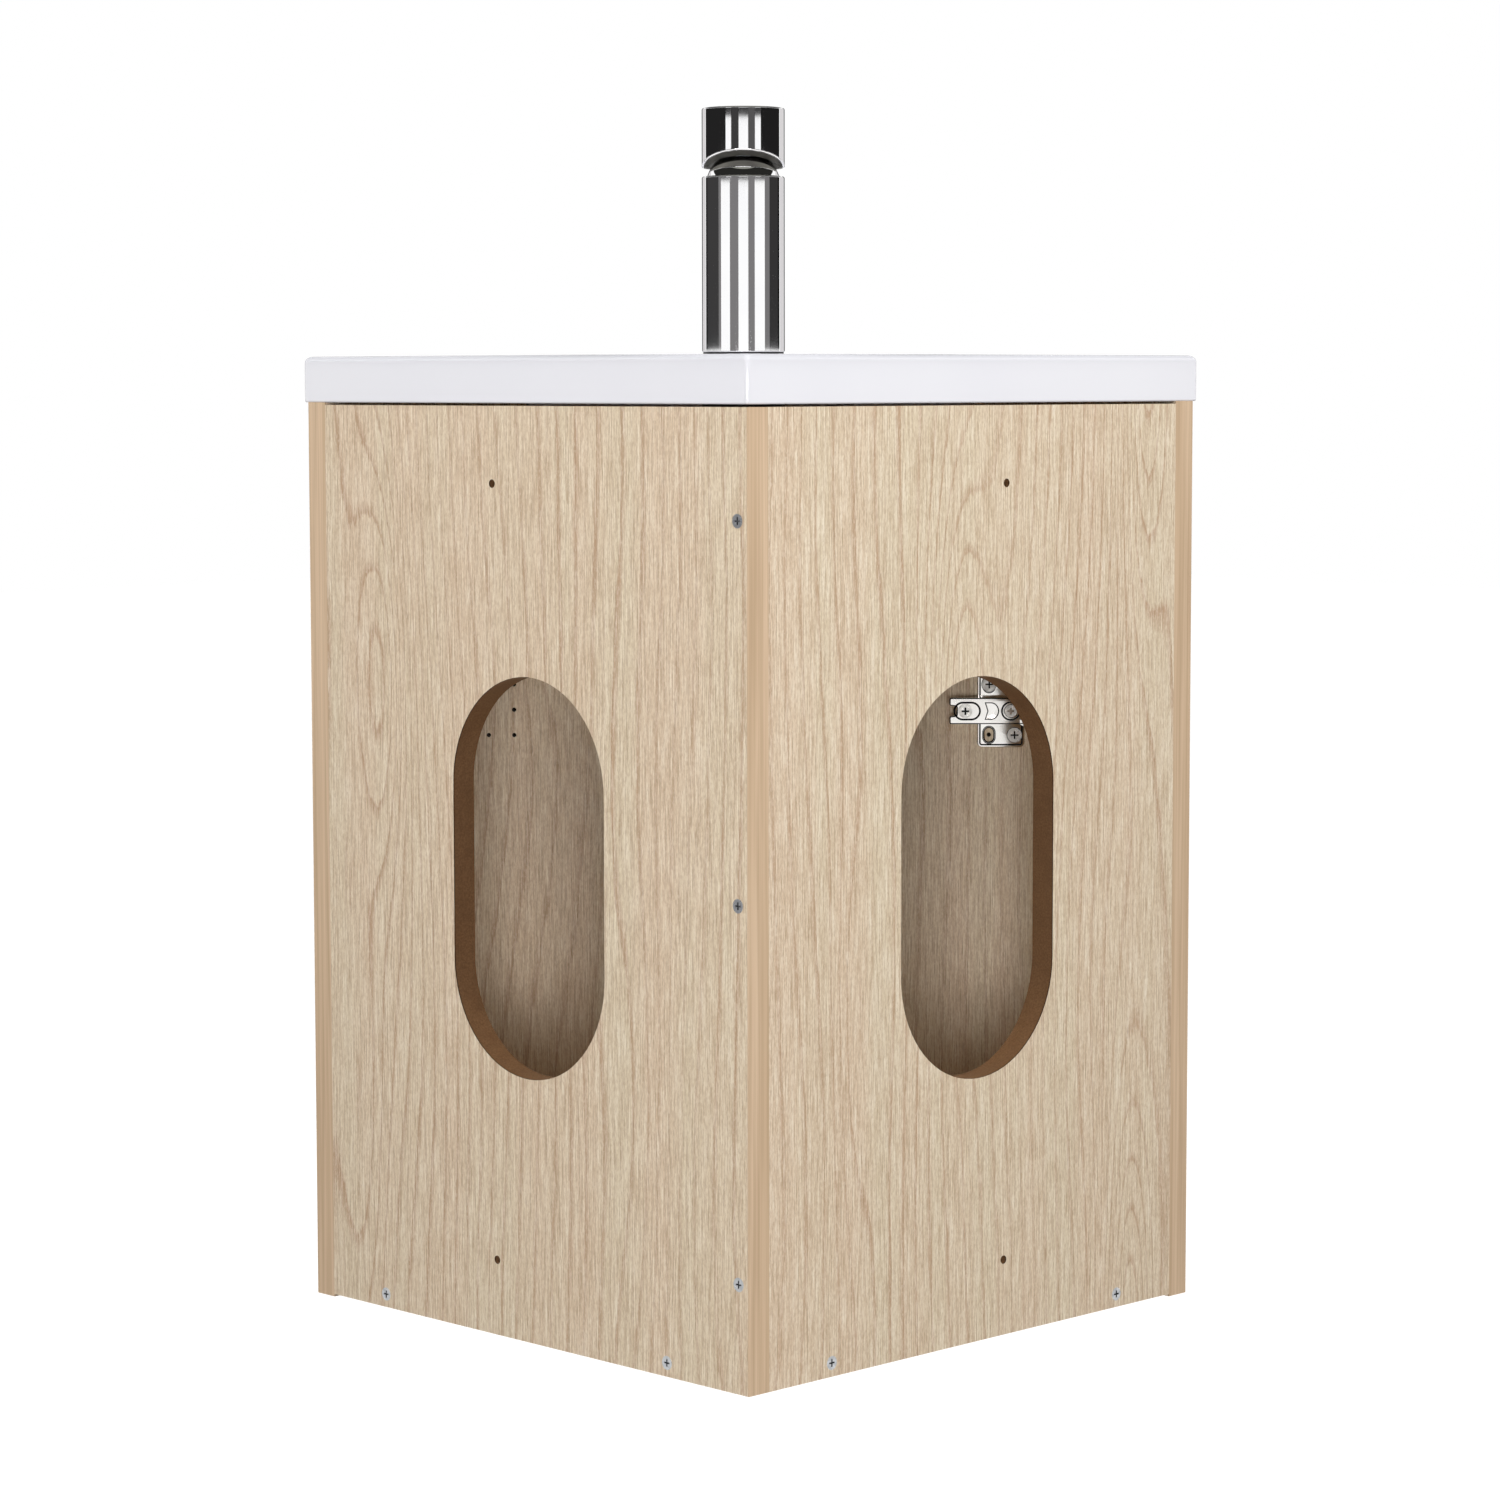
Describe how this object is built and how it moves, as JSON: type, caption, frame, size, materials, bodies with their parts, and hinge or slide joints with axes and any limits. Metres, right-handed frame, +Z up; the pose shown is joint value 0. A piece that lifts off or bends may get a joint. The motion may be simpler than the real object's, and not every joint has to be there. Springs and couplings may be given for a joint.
{
  "type": "corner hand basin unit",
  "caption": "Wall-hung corner vanity: oak-faced pentagon cabinet with diagonal door, ceramic corner basin and single-lever mixer tap.",
  "frame": {"origin": "corner of the two walls, at the lower edge of the back panels, on both wall faces", "axes": "+Z up, +X and +Y out of the corner along the two walls; the diagonal door faces +X+Y"},
  "size_m": [0.3885, 0.3935, 0.713],
  "materials": {
    "oak": "light oak foil on board, vertical grain, satin",
    "oak_band": "oak edge banding, satin",
    "beech": "raw beech",
    "zinc": "zinc plated",
    "hinge_steel": "nickel plated, bright",
    "ceramic": "white glaze",
    "chrome": "polished",
    "white_plastic": "moulded",
    "black_rubber": "matt",
    "clear_buffer": "translucent soft",
    "dark_plastic": "moulded",
    "dark_steel": "blackened",
    "brass": "machined"
  },
  "bodies": {
    "carcass": {"back_panel_left": "oak", "back_panel_right": "oak", "side_panel_left": "oak", "side_panel_right": "oak", "bottom_panel": "oak", "front_rail": "oak", "edge_bands": "oak_band", "corner_screws": "zinc", "bottom_screws": "zinc", "dowels": "beech", "cam_bolts": "zinc", "cam_locks": "zinc", "upper_hinge_cup": "hinge_steel", "lower_hinge_cup": "hinge_steel", "cup_screws": "zinc", "cup_pins": "zinc", "basin": "ceramic", "waste_flange": "chrome", "waste_screw": "zinc", "waste_body": "chrome", "waste_washer": "black_rubber", "waste_nut": "chrome", "trap_inlet_pipe": "white_plastic", "trap_inlet_nut": "white_plastic", "trap_body": "white_plastic", "trap_cup": "white_plastic", "trap_cup_seal": "black_rubber", "trap_outlet_nut": "white_plastic", "trap_outlet_pipe": "white_plastic", "tap_gasket": "black_rubber", "tap_body": "chrome", "tap_aerator": "chrome", "tap_cartridge": "dark_plastic", "tap_dome": "chrome", "tap_shank": "brass", "tap_washer": "black_rubber", "tap_nut": "brass", "tap_inlets": "brass"},
    "hinge_links": {"upper_hinge_link": "hinge_steel", "lower_hinge_link": "hinge_steel"},
    "door": {"door_panel": "oak", "door_buffers": "clear_buffer", "door_handle": "chrome", "handle_screws": "zinc", "upper_hinge_arm": "hinge_steel", "lower_hinge_arm": "hinge_steel", "arm_pins": "zinc", "upper_hinge_plate": "hinge_steel", "lower_hinge_plate": "hinge_steel", "plate_screws": "zinc", "arm_fixing_screws": "zinc", "arm_adjusting_screws": "zinc"},
    "tap_turner": {"tap_rotor": "white_plastic", "tap_lever_pin": "zinc"},
    "tap_lever": {"tap_lever": "chrome", "tap_grub_screw": "dark_steel"}
  },
  "joints": [
    {"name": "link_swing", "type": "hinge", "parent": "carcass", "child": "hinge_links", "pos_m": [0.366, 0.0875, 0.355], "axis": [0, 0, -1], "range_deg": [0, 118.75]},
    {"name": "door_pivot", "type": "hinge", "parent": "hinge_links", "child": "door", "pos_m": [0.346, 0.0795, 0.355], "axis": [0, 0, -1], "range_deg": [-23.75, 0]},
    {"name": "lever_turn", "type": "hinge", "parent": "carcass", "child": "tap_turner", "pos_m": [0.04207, 0.04561, 0.672], "axis": [0, 0, 1], "range_deg": [-45, 45]},
    {"name": "lever_lift", "type": "hinge", "parent": "tap_turner", "child": "tap_lever", "pos_m": [0.04207, 0.04561, 0.672], "axis": [0.7071, -0.7071, 0], "range_deg": [0, 20]}
  ],
  "couplings": [
    {"joint": "door_pivot", "follows": "link_swing", "ratio": -0.2}
  ]
}
